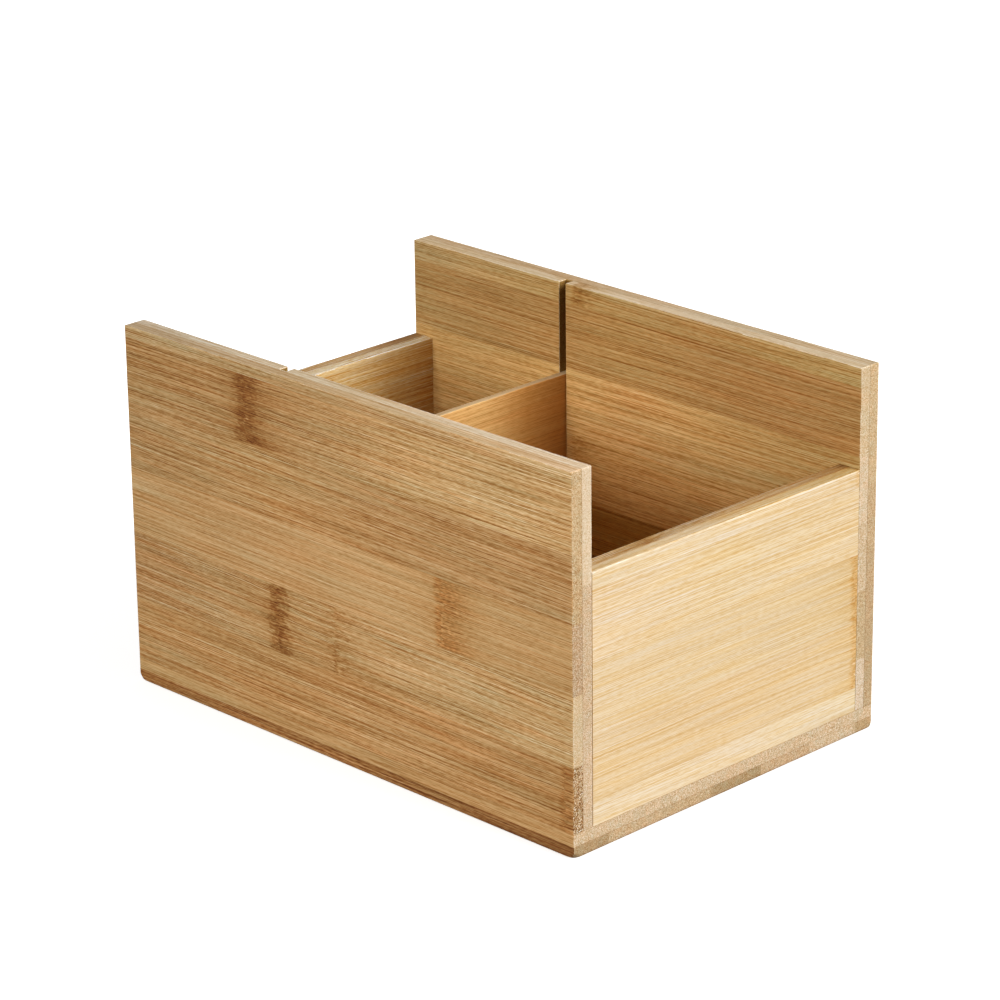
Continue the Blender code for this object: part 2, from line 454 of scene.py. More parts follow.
def write_attributes(obj, board, look):
    """Grain coordinates, strip limits, tones, knuckles and wear, for the material."""
    mesh = obj.data
    g, w, t = board.g, board.w, board.t
    nv, nf = len(mesh.vertices), len(mesh.polygons)
    co = np.zeros(nv * 3)
    mesh.vertices.foreach_get("co", co)
    co = co.reshape(-1, 3) / MM
    gwt = mesh.attributes.new("gwt", "FLOAT_VECTOR", "POINT")
    gwt.data.foreach_set("vector", co[:, [g, w, t]].astype(np.float32).ravel())

    # how close each vertex is to an open edge, and to a glue line
    low, high = np.array(board.low), np.array(board.high)
    open_near = np.zeros(nv)
    glue_near = np.zeros(nv, bool)
    for axis in range(3):
        for sign in (-1, 1):
            hull = high[axis] if sign > 0 else low[axis]
            d = np.abs(co[:, axis] - hull)
            if (axis, sign) in board.glued:
                glue_near |= d < GLUE_CHAMFER + 0.03
            else:
                open_near += d < board.edge_width + 0.2
    for lo, hi in board.removed:
        for x in (lo[0], hi[0]):
            if low[0] < x < high[0]:
                open_near += np.abs(co[:, 0] - x) < board.edge_width + 0.1
    wear = (open_near >= 2).astype(np.float32)
    wear_attribute = mesh.attributes.new("wear", "FLOAT", "POINT")
    wear_attribute.data.foreach_set("value", wear)

    strip = np.zeros((nf, 3), np.float32)
    knot_a = np.zeros((nf, 3), np.float32)
    knot_b = np.zeros((nf, 3), np.float32)
    knot_hue = np.zeros((nf, 3), np.float32)
    grain = np.zeros((nf, 3), np.float32)
    joint = np.zeros(nf, np.float32)
    tone = np.ones((len(mesh.loops), 4), np.float32)
    for f in mesh.polygons:
        n, c = f.normal, f.center / MM
        axis = max(range(3), key=lambda i: abs(n[i]))
        sign = 1 if n[axis] > 0 else -1
        kind = "end" if axis == g else "edge" if axis == w else "face"
        i = board.strip_of(c[w])
        s = look["strips"][i]
        strip[f.index] = (board.edges[i], board.edges[i + 1], s["seed"])
        knots = s.get("knots", []) if kind != "end" else []
        knot_hue[f.index][2] = s.get("blotch", 0.5)
        for target, column in ((knot_a, 0), (knot_b, 1)):
            if len(knots) > column:
                at, half, strength, hue = knots[column]
                target[f.index] = (at, half, strength)
                knot_hue[f.index][column] = hue
            else:
                target[f.index] = (9999.0, 1.0, 0.0)
        streak, bundle = s.get("contrast", look["contrast"])
        if kind == "edge":
            ratio = look.get("edge_contrast", 0.6)
            streak, bundle = ratio * streak, ratio * bundle
        if kind == "end":
            streak, bundle = s.get("end_contrast", look["end_contrast"])
        grain[f.index] = (streak, bundle, 1.0 if kind == "end" else 0.0)
        joint[f.index] = all(glue_near[v] for v in f.vertices)
        stops = s.get((kind, sign), s[kind])
        # groove walls: saw browning plus painted shade of the narrow slot
        for lo, hi in board.removed:
            if all(lo[k] - 0.01 <= c[k] <= hi[k] + 0.01 for k in range(3)):
                stops = [tuple(v * m for v, m in zip(stop, SAW_BURN_AND_SHADE))
                         for stop in stops]
        for loop in f.loop_indices:
            p = co[mesh.loops[loop].vertex_index]
            a = (p[g] - board.low[g]) / (board.high[g] - board.low[g])
            a = min(max(a, 0.0), 1.0) * (len(stops) - 1)
            k = min(int(a), len(stops) - 2) if len(stops) > 1 else 0
            if len(stops) > 1:
                mix = a - k
                tone[loop, :3] = [u * (1 - mix) + v * mix
                                  for u, v in zip(stops[k], stops[k + 1])]
            else:
                tone[loop, :3] = stops[0]
    for name, values in (("strip", strip), ("knot_a", knot_a),
                         ("knot_b", knot_b), ("knot_hue", knot_hue),
                         ("grain", grain)):
        a = mesh.attributes.new(name, "FLOAT_VECTOR", "FACE")
        a.data.foreach_set("vector", values.ravel())
    a = mesh.attributes.new("joint", "FLOAT", "FACE")
    a.data.foreach_set("value", joint)
    a = mesh.attributes.new("tone", "FLOAT_COLOR", "CORNER")
    a.data.foreach_set("color", tone.ravel())


# ----------------------------------------------------------- bamboo material
class Net:
    """A terse way to write a node tree."""

    def __init__(self, name):
        self.material = bpy.data.materials.new(name)
        self.material.use_nodes = True
        self.tree = self.material.node_tree
        self.tree.nodes.clear()

    def node(self, kind, **settings):
        n = self.tree.nodes.new(kind)
        for key, value in settings.items():
            setattr(n, key, value)
        return n

    def put(self, value, socket):
        if isinstance(value, bpy.types.NodeSocket):
            self.tree.links.new(value, socket)
        else:
            socket.default_value = value

    def m(self, operation, *values, clamp=False):
        n = self.node("ShaderNodeMath", operation=operation, use_clamp=clamp)
        for i, v in enumerate(values):
            self.put(v, n.inputs[i])
        return n.outputs[0]

    def add(self, *values):
        total = values[0]
        for v in values[1:]:
            total = self.m("ADD", total, v)
        return total

    def mul(self, *values):
        total = values[0]
        for v in values[1:]:
            total = self.m("MULTIPLY", total, v)
        return total

    def sub(self, a, b):
        return self.m("SUBTRACT", a, b)

    def mad(self, a, b, c):
        return self.m("MULTIPLY_ADD", a, b, c)

    def vec(self, x, y, z):
        n = self.node("ShaderNodeCombineXYZ")
        for i, v in enumerate((x, y, z)):
            self.put(v, n.inputs[i])
        return n.outputs[0]

    def split(self, vector):
        n = self.node("ShaderNodeSeparateXYZ")
        self.put(vector, n.inputs[0])
        return n.outputs[0], n.outputs[1], n.outputs[2]

    def attribute(self, name, output="Vector"):
        n = self.node("ShaderNodeAttribute", attribute_type="GEOMETRY",
                      attribute_name=name)
        return n.outputs[output]

    def smooth(self, value, start, end, low=0.0, high=1.0):
        n = self.node("ShaderNodeMapRange", interpolation_type="SMOOTHSTEP",
                      clamp=True)
        for i, v in enumerate((value, start, end, low, high)):
            self.put(v, n.inputs[i])
        return n.outputs[0]

    def noise(self, vector, detail=1.0, roughness=0.5):
        """Noise about zero."""
        n = self.node("ShaderNodeTexNoise", noise_dimensions="3D",
                      normalize=True)
        self.put(vector, n.inputs["Vector"])
        n.inputs["Scale"].default_value = 1.0
        n.inputs["Detail"].default_value = detail
        n.inputs["Roughness"].default_value = roughness
        return self.sub(n.outputs["Fac"], 0.5)

    def cells(self, vector):
        n = self.node("ShaderNodeTexVoronoi", voronoi_dimensions="3D",
                      feature="F1")
        self.put(vector, n.inputs["Vector"])
        n.inputs["Scale"].default_value = 1.0
        n.inputs["Randomness"].default_value = 1.0
        return n.outputs["Distance"], n.outputs["Color"]

    def scaled(self, u, p, q, along, across):
        return self.vec(self.mul(u, 1 / along), self.mul(p, 1 / across),
                        self.mul(q, 1 / across))


def bamboo(name, spread=(0.63, 1.0, 1.62), hues=(0.9, 0.0, -0.6),
           roughness=0.47, bump=0.35, grain=1.0):
    """Bamboo with fibres along g: streaks, vascular bundles, knuckles, seams, wear.

    spread is how far red, green and blue move for one step of lightness, hues
    the same for one step from yellow to orange. grain is the width of a fibre.
    """
    n = Net(name)
    g, w, t = n.split(n.attribute("gwt"))
    low, high, seed = n.split(n.attribute("strip"))
    streak, bundle, end = n.split(n.attribute("grain"))
    edge, joint = n.attribute("wear", "Fac"), n.attribute("joint", "Fac")
    hue_a, hue_b, blotch = n.split(n.attribute("knot_hue"))
    tone = n.attribute("tone", "Color")

    u = n.mad(seed, 913.7, g)
    p = n.mad(seed, 517.3, w)
    q = n.mad(seed, 291.1, t)

    # slow waviness and a slight slope of the fibres, its own in every strip
    sway = n.noise(n.scaled(u, p, q, 110.0, 30.0), 1.0)
    slope = n.sub(n.m("FRACT", n.mul(seed, 17.31)), 0.5)
    p = n.mad(sway, 1.5, p)
    p = n.mad(n.mul(slope, 0.022), g, p)

    # knuckles: where they are, how they bend and cut the fibres; an orange one
    # starts sharply and trails off along the grain
    ragged = n.noise(n.scaled(u, p, q, 7.0, 3.0), 2.0, 0.6)
    finger = n.noise(n.scaled(u, p, q, 22.0, 0.9), 1.0, 0.6)
    bend_noise = n.noise(n.scaled(u, p, q, 24.0, 8.0), 0.0)
    masks, glows = [], []
    for which, hue in (("knot_a", hue_a), ("knot_b", hue_b)):
        at, half, strength = n.split(n.attribute(which))
        raw = n.sub(g, at)
        right = n.m("GREATER_THAN", raw, 0.0)
        head = n.mad(hue, 0.9, 1.0)
        tail = n.m("DIVIDE", 1.0, n.mad(hue, 1.3, 1.0))
        d = n.add(raw, n.mul(ragged, 4.0), n.mul(finger, n.mad(right, 6.0, 3.0)))
        d = n.mul(d, n.mad(right, n.sub(tail, head), head))
        d = n.m("DIVIDE", d, half)
        square = n.mul(d, d)
        crisp = n.mul(n.sub(1.0, right), hue, square, n.sub(square, 1.0))
        masks.append(n.mul(strength, n.m("EXPONENT",
                                         n.mul(n.add(square, crisp), -1.0))))
        wide = n.mad(ragged, 9.0, raw)
        glow = n.mul(strength, n.m("EXPONENT", n.mul(wide, wide, -1 / 190.0)))
        glows.append(glow)
        cut = n.m("GREATER_THAN", n.mad(finger, 8.0, raw), 0.0)
        p = n.mad(n.mul(strength, cut), 9.37, p)
        p = n.mad(n.mul(glow, bend_noise), 2.4, p)
    knuckle = n.m("ADD", masks[0], masks[1], clamp=True)
    glow = n.m("ADD", glows[0], glows[1], clamp=True)
    orange = n.m("ADD", n.mul(masks[0], hue_a), n.mul(masks[1], hue_b),
                 clamp=True)

    # fibres
    main = n.noise(n.scaled(u, p, q, 190.0, 0.35 * grain), 0.0)
    second = n.noise(n.scaled(u, p, q, 34.0, 0.28 * grain), 0.0)
    thread = n.noise(n.scaled(u, p, q, 3.0, 0.28 * grain), 0.0)
    middle = n.noise(n.scaled(u, p, q, 90.0, 1.5), 0.0)
    broad = n.noise(n.scaled(u, p, q, 80.0, 4.5), 1.2, 0.5)
    lines = n.smooth(n.noise(n.scaled(u, p, q, 120.0, 0.38 * grain), 0.0), 0.12, 0.22)
    ruddy = n.add(n.noise(n.scaled(u, p, q, 34.0, 0.95), 1.0, 0.6),
                  n.mul(n.noise(n.scaled(u, p, q, 46.0, 4.2), 1.0, 0.5), 1.1),
                  n.mul(broad, -0.15))

    # vascular bundles: dashes along the face, dots on the end grain
    distance, cell = n.cells(n.scaled(u, p, q, 40.0, 0.60))
    chosen, _, _ = n.split(cell)
    bundle_mask = n.mul(n.smooth(distance, 0.38, 0.14),
                        n.smooth(chosen, 0.30, 0.75))

    flat = n.mad(end, -0.45, 1.0)
    body = n.add(n.mul(main, 2.3), n.mul(second, 2.1),
                 n.mul(thread, 1.7),
                 n.mul(broad, flat, 0.28),
                 n.mul(lines, -0.36))
    pores = n.smooth(n.noise(n.scaled(u, p, q, 30.0, 0.72), 0.0), -0.10, 0.10)
    body = n.mad(n.mul(end, n.sub(pores, 0.55)), 0.42, body)
    value = n.mul(streak, body, n.mad(knuckle, 0.15, 1.0))
    value = n.sub(value, n.mul(bundle, bundle_mask))
    value = n.m("MINIMUM", value, n.mad(value, 0.50, 0.02))

    # knuckles: browned fibres, dark blotches with pale specks, a wide shade
    mottle = n.noise(n.scaled(u, p, q, 3.6, 2.2), 1.5, 0.55)
    speck = n.noise(n.scaled(u, p, q, 2.0, 0.56), 0.0)
    cream = n.smooth(n.noise(n.scaled(u, p, q, 1.9, 0.95), 0.0), 0.14, 0.25)
    blot = n.mul(blotch, n.smooth(n.mad(mottle, 1.7, knuckle), 0.45, 0.80))
    value = n.sub(value, n.mul(knuckle, n.mad(orange, -0.36, 0.58),
                               n.mad(blotch, -0.55, 1.0)))
    value = n.sub(value, n.mul(blot, 0.50))
    value = n.add(value, n.mul(knuckle, speck, 1.3), n.mul(knuckle, mottle, 0.5),
                  n.mul(knuckle, cream, blotch, 0.40))
    value = n.sub(value, n.mul(glow, n.mad(middle, -0.7, 0.15)))

    # seams between strips, glue lines, handled edges
    to_seam = n.m("MINIMUM", n.sub(w, low), n.sub(high, w))
    seam = n.smooth(to_seam, 0.20, 0.03)
    value = n.sub(value, n.mul(seam, 0.14))
    rub = n.noise(n.scaled(u, p, q, 7.0, 2.5), 2.0, 0.6)
    worn = n.mul(edge, n.smooth(rub, -0.25, 0.15))
    value = n.mad(worn, 0.10, value)
    value = n.sub(value, n.mul(joint, 0.35))

    hue = n.mul(ruddy, n.smooth(streak, 0.0, 1.0, 0.05, 0.26))
    shift = n.vec(*(n.m("EXPONENT", n.mad(value, k, n.mul(hue, h)))
                    for k, h in zip(spread, hues)))
    tint = n.node("ShaderNodeVectorMath", operation="MULTIPLY")
    n.put(tone, tint.inputs[0])
    n.put(shift, tint.inputs[1])
    warm = n.m("MULTIPLY", orange, n.smooth(n.add(finger, speck), -0.15, 0.15),
               clamp=True)
    amber = n.node("ShaderNodeMix", data_type="RGBA", blend_type="MULTIPLY")
    n.put(warm, amber.inputs["Factor"])
    n.put(tint.outputs[0], amber.inputs[6])
    amber.inputs[7].default_value = (1.10, 0.96, 0.82, 1.0)

    shader = n.node("ShaderNodeBsdfPrincipled")
    out = n.node("ShaderNodeOutputMaterial")
    n.put(amber.outputs[2], shader.inputs["Base Color"])
    rough = n.add(n.mad(main, -0.20, roughness), n.mul(bundle_mask, 0.08),
                  n.mul(worn, 0.08), n.mul(end, 0.12), n.mul(blot, 0.08))
    n.put(n.m("ADD", rough, 0.0, clamp=True), shader.inputs["Roughness"])
    shader.inputs["IOR"].default_value = 1.45
    shader.inputs["Specular IOR Level"].default_value = 0.30
    height = n.add(n.mul(main, 1.0), n.mul(second, 0.7), n.mul(thread, 0.35),
                   n.mul(bundle_mask, -0.35), n.mul(seam, -0.35),
                   n.mul(knuckle, speck, 0.4))
    relief = n.node("ShaderNodeBump")
    relief.inputs["Strength"].default_value = bump
    relief.inputs["Distance"].default_value = 0.00012
    n.put(height, relief.inputs["Height"])
    n.put(relief.outputs[0], shader.inputs["Normal"])
    n.tree.links.new(shader.outputs[0], out.inputs[0])
    return n.material


MATERIALS = {
    "bamboo_side_panel": bamboo("bamboo_side_panel"),
    "bamboo_end_panel": bamboo("bamboo_end_panel", spread=(0.46, 1.0, 2.15),
                               hues=(0.8, 0.0, -2.4), roughness=0.45, bump=0.25,
                               grain=0.80),
    "bamboo_base_board": bamboo("bamboo_base_board", roughness=0.50),
    "bamboo_divider": bamboo("bamboo_divider", roughness=0.45),
    "dowel_bamboo": bamboo("dowel_bamboo", roughness=0.62, bump=0.6),
}

# -------------------------------------------------------------------- tones
AMBIENT = 0.22
E_FRONT, E_LEFT, E_TOP = 1.20, 0.83, 1.08       # light falling on each side


def tones(rows, light):
    return [tuple(lin(c) / light for c in row) for row in rows]


EDGE_PALE = tones([(205, 180, 150)], E_TOP)
EDGE_SIDE = tones([(176, 136, 92)], E_LEFT)
END_GRAIN = tones([(206, 174, 133)], E_FRONT)


def varied(stops, amount):
    """The same tones, each lighter or darker by its own small amount."""
    out = []
    base = rng.uniform(-amount, amount)
    for c in stops:
        v = base + rng.uniform(-amount, amount) * 0.5
        out.append(tuple(x * math.exp(v * k) for x, k in zip(c, (0.7, 1.0, 1.4))))
    return out


def plain_look(board, face, edge, end, contrast=(0.85, 0.16),
               end_contrast=(0.5, 0.30), amount=0.07, knots=0.3):
    """A look for a ply: every strip its own tones, knuckles here and there."""
    strips = []
    g_low, g_high = board.low[board.g], board.high[board.g]
    for _ in range(len(board.edges) - 1):
        s = {"seed": rng.random(), "blotch": rng.random(),
             "face": varied(list(face) * 3 if len(face) == 1 else face, amount),
             "edge": varied(edge, 0.012),
             "end": varied([end[len(strips) % len(end)]], 0.012)}
        if rng.random() < knots:
            at = rng.uniform(g_low + 12, g_high - 12)
            s["knots"] = [(at, rng.uniform(4, 8), rng.uniform(0.5, 1.0),
                           rng.random())]
        strips.append(s)
    return {"strips": strips, "contrast": contrast,
            "end_contrast": end_contrast}


SIDE_FACE = tones([(178, 139, 92)], E_LEFT)
PALE_FACE = tones([(238, 209, 164)], E_FRONT)
INNER_FACE = tones([(186, 146, 96)], E_LEFT)

# ------------------------------------------------------------------- bores
SIDE_DOWEL_X = (-90.0, 0.0, 90.0)
END_DOWEL_Y = (-40.0, 40.0)
CORNER_DOWEL_Z = (34.0, 86.0)
bores = bpy.data.collections.new("bore_tools")
tools.children.link(bores)
dowels = []
for hand, sign in (("left", -1), ("right", 1)):
    for number, x in enumerate(SIDE_DOWEL_X, 1):
        dowels.append((f"base_to_{hand}_side_{number}",
                       (x, sign * (HALF_W - PLY), 3.5), 2, 19.0,
                       f"dowel_base_to_{hand}_side_{number}"))
for end, sign in (("front", 1), ("back", -1)):
    for number, y in enumerate(END_DOWEL_Y, 1):
        dowels.append((f"base_to_{end}_end_{number}",
                       (sign * (HALF_L - PLY), y, 3.5), 2, 19.0,
                       f"dowel_base_to_{end}_end_{number}"))
    for hand, side in (("left", -1), ("right", 1)):
        for place, z in zip(("lower", "upper"), CORNER_DOWEL_Z):
            dowels.append((f"{end}_{hand}_corner_{place}",
                           (sign * (HALF_L - PLY), side * (HALF_W - 2.8), z),
                           1, -side * 19.0,
                           f"dowel_{end}_{hand}_corner_{place}"))
for name, start, axis, length, _ in dowels:
    begin = list(start)
    step = 1 if length > 0 else -1
    begin[axis] -= step * 0.3
    add_bore("bore_" + name, begin, axis, length + step * 0.6, bores)

# ------------------------------------------------------------------ the plies
boards = {}


def ply(key, node, low, high, axes, seams, glued, **kw):
    board = Board(key, low, high, axes, seams, glued, ARRIS, **kw)
    cut_bores(board.obj, bores)
    bake_modifiers(board.obj)
    boards[key] = (board, node)
    return board


BASE_AXES, SIDE_AXES, END_AXES = (0, 1, 2), (0, 2, 1), (1, 2, 0)

base_seams_low = [-64.0, -36.7, -9.0, 18.3, 45.6, 72.2]
base_seams_high = [-71.5, -44.4, -17.1, 10.1, 37.4, 64.5]
ply("wood_base_lower_ply", "base_board_lower_ply",
    (-HALF_L, -HALF_W, 0.0), (HALF_L, HALF_W, PLY - JOINT), BASE_AXES,
    base_seams_low, [(2, 1)], bottom_round=BASE_ROUND)
ply("wood_base_upper_ply", "base_board_upper_ply",
    (-HALF_L, -HALF_W, PLY + JOINT), (HALF_L, HALF_W, BOARD - JOINT), BASE_AXES,
    base_seams_high, [(2, -1), (2, 1)])

side_seams = {
    ("left", "outer"): [36.0, 63.3, 90.5, 117.0, 143.8],
    ("left", "inner"): [22.4, 49.6, 76.8, 104.1, 131.3],
    ("right", "inner"): [30.9, 58.2, 85.5, 112.8, 140.0],
    ("right", "outer"): [18.7, 46.0, 73.2, 100.4, 127.7],
}
for hand, sign in (("left", -1), ("right", 1)):
    for layer in ("outer", "inner"):
        if layer == "outer":
            ys = sorted((sign * HALF_W, sign * (HALF_W - PLY + JOINT)))
            glued = [(1, -sign), (2, -1)]
        else:
            ys = sorted((sign * (HALF_W - PLY - JOINT), sign * (HALF_W - BOARD)))
            glued = [(1, sign), (2, -1)]
        extra = {}
        if layer == "inner":
            reach = sorted((sign * (HALF_W - BOARD - 1), sign * GROOVE_FLOOR))
            extra = {"removed": [((GROOVE[0], reach[0], 0.0),
                                  (GROOVE[1], reach[1], 200.0))],
                     "marks": {0: [GROOVE[0] - 0.9, *GROOVE, GROOVE[1] + 0.9],
                               1: [sign * GROOVE_FLOOR]}}
        ply(f"wood_{hand}_side_{layer}_ply", f"side_panel_{hand}_{layer}_ply",
            (-HALF_L, ys[0], BOARD + JOINT), (HALF_L, ys[1], HEIGHT), SIDE_AXES,
            side_seams[hand, layer], glued, **extra)

end_seams = {
    ("front", "outer"): [19.7, 46.9, 74.0, 101.3],
    ("front", "inner"): [28.4, 55.6, 82.9],
    ("back", "inner"): [25.8, 53.0, 80.3],
    ("back", "outer"): [33.1, 60.4, 87.6],
}
span = HALF_W - BOARD - JOINT
for end, sign in (("front", 1), ("back", -1)):
    for layer in ("outer", "inner"):
        if layer == "outer":
            xs = sorted((sign * HALF_L, sign * (HALF_L - PLY + JOINT)))
            glued = [(0, -sign), (1, -1), (1, 1), (2, -1)]
        else:
            xs = sorted((sign * (HALF_L - PLY - JOINT), sign * (HALF_L - BOARD)))
            glued = [(0, sign), (1, -1), (1, 1), (2, -1)]
        ply(f"wood_{end}_end_{layer}_ply", f"end_panel_{end}_{layer}_ply",
            (xs[0], -span, BOARD + JOINT), (xs[1], span, END_TOP), END_AXES,
            end_seams[end, layer], glued)

divider = Board("wood_divider", (DIVIDER[0], -DIVIDER_END, DIVIDER_LOW),
                (DIVIDER[1], DIVIDER_END, DIVIDER_TOP), END_AXES,
                [28.6, 55.8, 83.0], [], 0.34)
boards["wood_divider"] = (divider, "divider_panel")

# -------------------------------------------------------------- their looks
looks = {}

# left side, outer ply: the face towards the viewer, strip by strip from below
b = boards["wood_left_side_outer_ply"][0]
left_face = [
    [(174, 133, 82), (179, 134, 81), (185, 139, 86), (177, 133, 81)],
    [(173, 132, 84), (182, 142, 91), (189, 148, 96), (191, 153, 101)],
    [(183, 146, 97), (187, 145, 94), (194, 153, 101), (187, 146, 94)],
    [(170, 133, 85), (181, 137, 84), (180, 137, 86), (179, 136, 85)],
    [(167, 127, 77), (171, 127, 76), (193, 154, 101), (195, 156, 103)],
    [(176, 144, 97), (173, 138, 90), (182, 140, 89), (199, 161, 108)],
]
left_knots = {
    0: [(115.5, 4.0, 0.55, 0.9)],
    1: [(-36.0, 6.0, 1.0, 0.15), (-4.0, 8.0, 0.42, 0.1)],
    2: [(53.5, 6.0, 0.95, 1.0)],
    4: [(-51.0, 7.6, 1.0, 0.2)],
}
left_blotch = {0: 0.3, 1: 1.0, 2: 0.35, 4: 0.8}
left_end = [(196, 159, 110), (222, 195, 155), (205, 173, 135), (209, 176, 130),
            (213, 182, 137), (214, 183, 139)]
LEFT_OUTER_TOP = tones([(180, 154, 119), (194, 165, 127), (207, 177, 136),
                        (218, 188, 146), (228, 195, 155)], E_TOP)
LEFT_INNER_TOP = tones([(209, 192, 170), (223, 201, 169), (241, 219, 191)], E_TOP)
RIGHT_INNER_TOP = tones([(210, 187, 152), (223, 200, 168), (227, 208, 178)], E_TOP)
RIGHT_OUTER_TOP = tones([(196, 170, 134), (205, 178, 142), (210, 188, 154)], E_TOP)
looks["wood_left_side_outer_ply"] = {
    "contrast": (1.0, 0.20), "end_contrast": (0.55, 0.22),
    "strips": [{
        "seed": rng.random(),
        "blotch": left_blotch.get(i, 0.3),
        "contrast": ((0.86, 0.20), (0.92, 0.20), (0.62, 0.15), (0.86, 0.17),
                     (0.94, 0.19), (0.9, 0.18))[i],
        "face": tones(left_face[i], E_LEFT),
        "edge": LEFT_OUTER_TOP,
        ("edge", -1): varied(EDGE_SIDE, 0.02),
        "end": tones([left_end[i]], E_FRONT),
        "knots": left_knots.get(i, []),
        "end_contrast": ((1.9, 2.2), (0.5, 0.35), (0.8, 0.55), (0.8, 0.55),
                         (0.6, 0.40), (0.6, 0.40))[i],
    } for i in range(6)]}

b = boards["wood_left_side_inner_ply"][0]
looks["wood_left_side_inner_ply"] = plain_look(
    b, INNER_FACE, LEFT_INNER_TOP,
    tones([(222, 193, 157), (222, 193, 157), (219, 190, 153), (220, 191, 154),
           (233, 208, 173), (234, 209, 175)], E_FRONT),
    contrast=(0.9, 0.18), end_contrast=(0.6, 0.45), amount=0.05, knots=0.35)
looks["wood_left_side_inner_ply"]["strips"][-1].pop("knots", None)
looks["wood_left_side_inner_ply"]["strips"][-1]["edge"] = tones(
    [(208, 192, 170), (211, 193, 165), (217, 194, 160),
     (232, 210, 180), (241, 219, 190)], E_TOP)
for smooth_strip in looks["wood_left_side_inner_ply"]["strips"][-2:]:
    smooth_strip["end_contrast"] = (0.3, 0.2)

# right side, inner ply: seen across the opening; its two lowest strips are painted dark,
# painted shade of the box's deep inside
b = boards["wood_right_side_inner_ply"][0]
right_rows_with_painted_shade = [
    [(138, 103, 48), (138, 103, 48), (138, 103, 48), (138, 103, 48)],
    [(154, 117, 58), (154, 117, 58), (154, 117, 58), (154, 117, 58)],
    [(191, 149, 90), (191, 149, 90), (191, 149, 90), (191, 149, 90)],
    [(181, 142, 85), (180, 142, 86), (194, 154, 93), (189, 149, 93),
     (181, 144, 88), (171, 136, 82), (162, 129, 76)],
    [(161, 126, 74), (162, 125, 73), (166, 127, 74), (165, 128, 74),
     (163, 124, 72), (162, 121, 70), (162, 122, 71)],
    [(172, 142, 93), (175, 144, 92), (176, 144, 89), (170, 136, 82),
     (170, 134, 81), (173, 139, 84), (173, 140, 85)],
]
right_knots = {5: [(-27.0, 4.5, 0.8, 0.6)], 2: [(-28.0, 5.0, 0.55, 0.6)],
               3: [], 4: []}
right_end = [(228, 205, 175), (211, 183, 141), (222, 195, 158), (230, 203, 167),
             (225, 197, 156), (223, 195, 154)]
looks["wood_right_side_inner_ply"] = {
    "contrast": (0.68, 0.15), "end_contrast": (0.5, 0.32),
    "strips": [{
        "seed": rng.random(),
        "face": tones(right_rows_with_painted_shade[i], E_LEFT),
        "edge": RIGHT_INNER_TOP,
        "end": tones([right_end[i]], E_FRONT),
        "knots": right_knots.get(i, []),
    } for i in range(6)]}
b = boards["wood_right_side_outer_ply"][0]
looks["wood_right_side_outer_ply"] = plain_look(
    b, SIDE_FACE, RIGHT_OUTER_TOP,
    tones([(202, 172, 130), (201, 171, 129), (206, 174, 132), (209, 177, 134),
           (216, 185, 141), (220, 189, 144)], E_FRONT),
    contrast=(0.95, 0.20), end_contrast=(0.62, 0.42), amount=0.07, knots=0.45)
looks["wood_right_side_outer_ply"]["strips"][-1].pop("knots", None)

# front end, outer ply: pale, low in contrast, a knuckle at its right-hand end
b = boards["wood_front_end_outer_ply"][0]
front_face = [
    [(244, 218, 177), (244, 218, 178), (241, 217, 176)],
    [(240, 210, 164), (238, 206, 158), (238, 207, 158)],
    [(240, 211, 166), (238, 209, 162), (235, 205, 156)],
    [(245, 217, 176), (242, 214, 167), (242, 213, 167)],
    [(244, 217, 173), (244, 217, 174), (243, 215, 172)],
]
front_knots = {1: [(71.0, 4.0, 0.50, 0.8)], 2: [(70.5, 4.2, 0.58, 0.8)],
               4: [(71.0, 3.2, 0.30, 1.0)]}
looks["wood_front_end_outer_ply"] = {
    "contrast": (0.32, 0.04), "end_contrast": (0.4, 0.1), "edge_contrast": 1.5,
    "strips": [{
        "seed": rng.random(),
        "face": tones(front_face[i], E_FRONT),
        # the top edge darkens towards the right-hand side panel: painted shade
        "edge": tones([(249, 227, 186), (246, 221, 180), (232, 206, 164),
                       (217, 195, 154), (201, 177, 128)], E_TOP),
        "end": tones([(215, 185, 145)], E_FRONT),
        "knots": front_knots.get(i, []),
    } for i in range(5)]}
for key, face, edge in (
        # top edge of the front inner ply: painted shade, darkening towards the right-hand
        # side panel
        ("wood_front_end_inner_ply", INNER_FACE,
         [(232, 212, 178), (211, 180, 136), (164, 123, 68)]),
        ("wood_back_end_inner_ply", tones([(190, 150, 91)], E_LEFT),
         [(219, 200, 170)]),
        ("wood_back_end_outer_ply", SIDE_FACE, [(190, 156, 114)])):
    b = boards[key][0]
    looks[key] = plain_look(b, face, tones(edge, E_TOP), END_GRAIN,
                            contrast=(0.8, 0.16), amount=0.05, knots=0.3)
    looks[key]["edge_contrast"] = 1.1
# the darker stop towards the +Y end is painted shade near the right-hand side panel
BACK_INNER_FACE_WITH_PAINTED_SHADE = tones([(185, 148, 90), (185, 148, 90), (188, 151, 92),
                         (189, 154, 95), (191, 160, 106), (175, 139, 84),
                         (193, 154, 92)], E_LEFT)
BACK_INNER_TOP = tones([(227, 210, 179), (227, 210, 179), (227, 210, 179),
                        (227, 210, 179), (229, 213, 182), (230, 215, 188),
                        (228, 209, 170)], E_TOP)
BACK_OUTER_TOP = tones([(198, 164, 119), (198, 164, 119), (202, 169, 124),
                        (205, 173, 128), (208, 178, 132), (186, 147, 100),
                        (174, 138, 90)], E_TOP)
for strip in looks["wood_back_end_inner_ply"]["strips"]:
    strip["face"], strip["edge"] = BACK_INNER_FACE_WITH_PAINTED_SHADE, BACK_INNER_TOP
for strip in looks["wood_back_end_outer_ply"]["strips"]:
    strip["edge"] = BACK_OUTER_TOP

